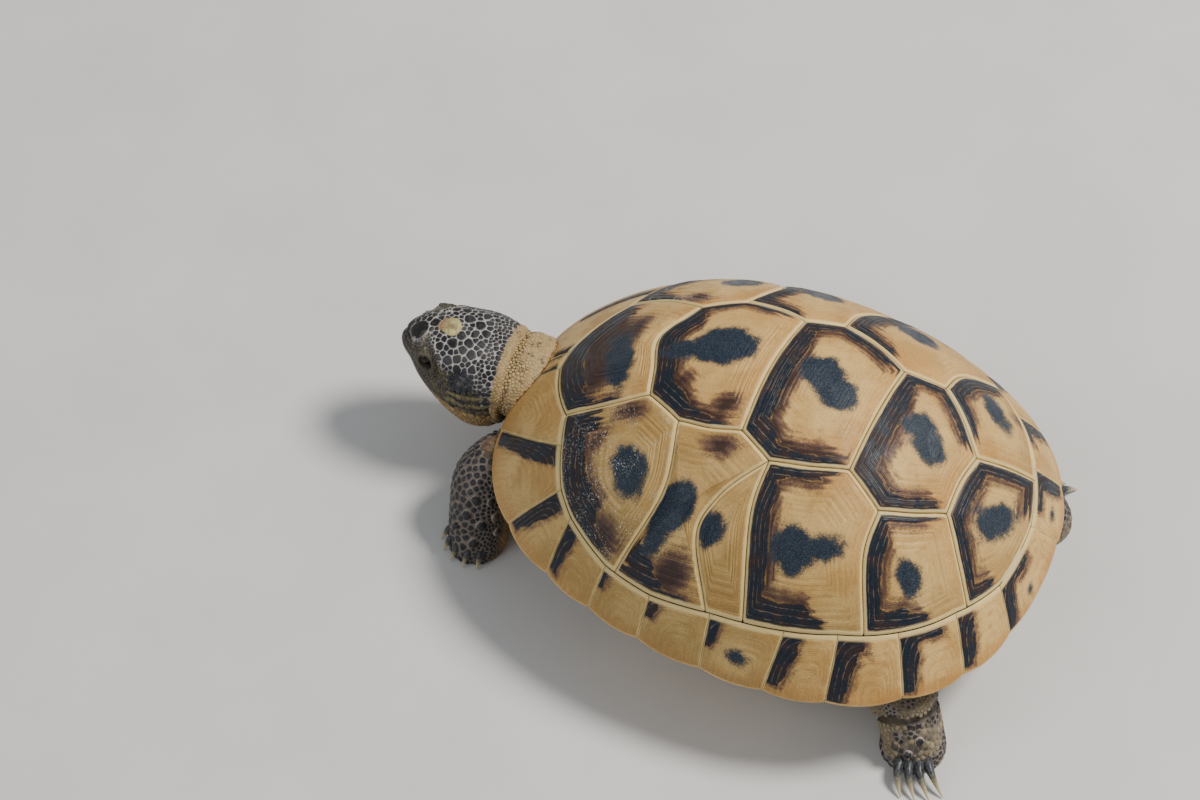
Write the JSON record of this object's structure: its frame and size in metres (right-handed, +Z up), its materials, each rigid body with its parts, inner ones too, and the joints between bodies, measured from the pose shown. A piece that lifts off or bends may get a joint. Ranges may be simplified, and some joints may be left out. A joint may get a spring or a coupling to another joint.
{
  "type": "young spur-thighed tortoise",
  "caption": "Young Greek tortoise standing with its head raised and turned a little to its left, domed scute-covered shell, life-size still figure.",
  "frame": {"origin": "on the floor, under the middle of the whole animal's box", "axes": "+Z up, the head points to -Y, the animal's left side is +X"},
  "size_m": [0.0944, 0.1418, 0.0607],
  "materials": {
    "shell_horn": "satin horn, tan with dark bands",
    "plastron_horn": "satin horn, tan with dark patches",
    "scaly_skin": "dry scaly skin",
    "head_skin": "small flat dark scales",
    "eye": "wet gloss"
  },
  "bodies": {
    "root": {"vertebral_1": "shell_horn", "vertebral_2": "shell_horn", "vertebral_3": "shell_horn", "vertebral_4": "shell_horn", "vertebral_5": "shell_horn", "costal_left_1": "shell_horn", "costal_left_2_front": "shell_horn", "costal_left_2_rear": "shell_horn", "costal_left_3": "shell_horn", "costal_left_4": "shell_horn", "costal_right_1": "shell_horn", "costal_right_2": "shell_horn", "costal_right_3": "shell_horn", "costal_right_4": "shell_horn", "marginal_left_1": "shell_horn", "marginal_left_2": "shell_horn", "marginal_left_3": "shell_horn", "marginal_left_4": "shell_horn", "marginal_left_5": "shell_horn", "marginal_left_6": "shell_horn", "marginal_left_7": "shell_horn", "marginal_left_8": "shell_horn", "marginal_left_9": "shell_horn", "marginal_left_10": "shell_horn", "marginal_left_11": "shell_horn", "marginal_right_1": "shell_horn", "marginal_right_2": "shell_horn", "marginal_right_3": "shell_horn", "marginal_right_4": "shell_horn", "marginal_right_5": "shell_horn", "marginal_right_6": "shell_horn", "marginal_right_7": "shell_horn", "marginal_right_8": "shell_horn", "marginal_right_9": "shell_horn", "marginal_right_10": "shell_horn", "marginal_right_11": "shell_horn", "nuchal": "shell_horn", "supracaudal": "shell_horn", "gular_left": "plastron_horn", "gular_right": "plastron_horn", "humeral_left": "plastron_horn", "humeral_right": "plastron_horn", "pectoral_left": "plastron_horn", "pectoral_right": "plastron_horn", "abdominal_left": "plastron_horn", "abdominal_right": "plastron_horn", "femoral_left": "plastron_horn", "femoral_right": "plastron_horn", "anal_left": "plastron_horn", "anal_right": "plastron_horn", "trunk": "scaly_skin", "neck": "scaly_skin", "tail": "scaly_skin", "front_leg_left": "scaly_skin", "front_leg_right": "scaly_skin", "hind_leg_left": "scaly_skin", "hind_leg_right": "scaly_skin", "head": "head_skin", "eye_left": "eye", "eye_right": "eye"}
  },
  "joints": []
}
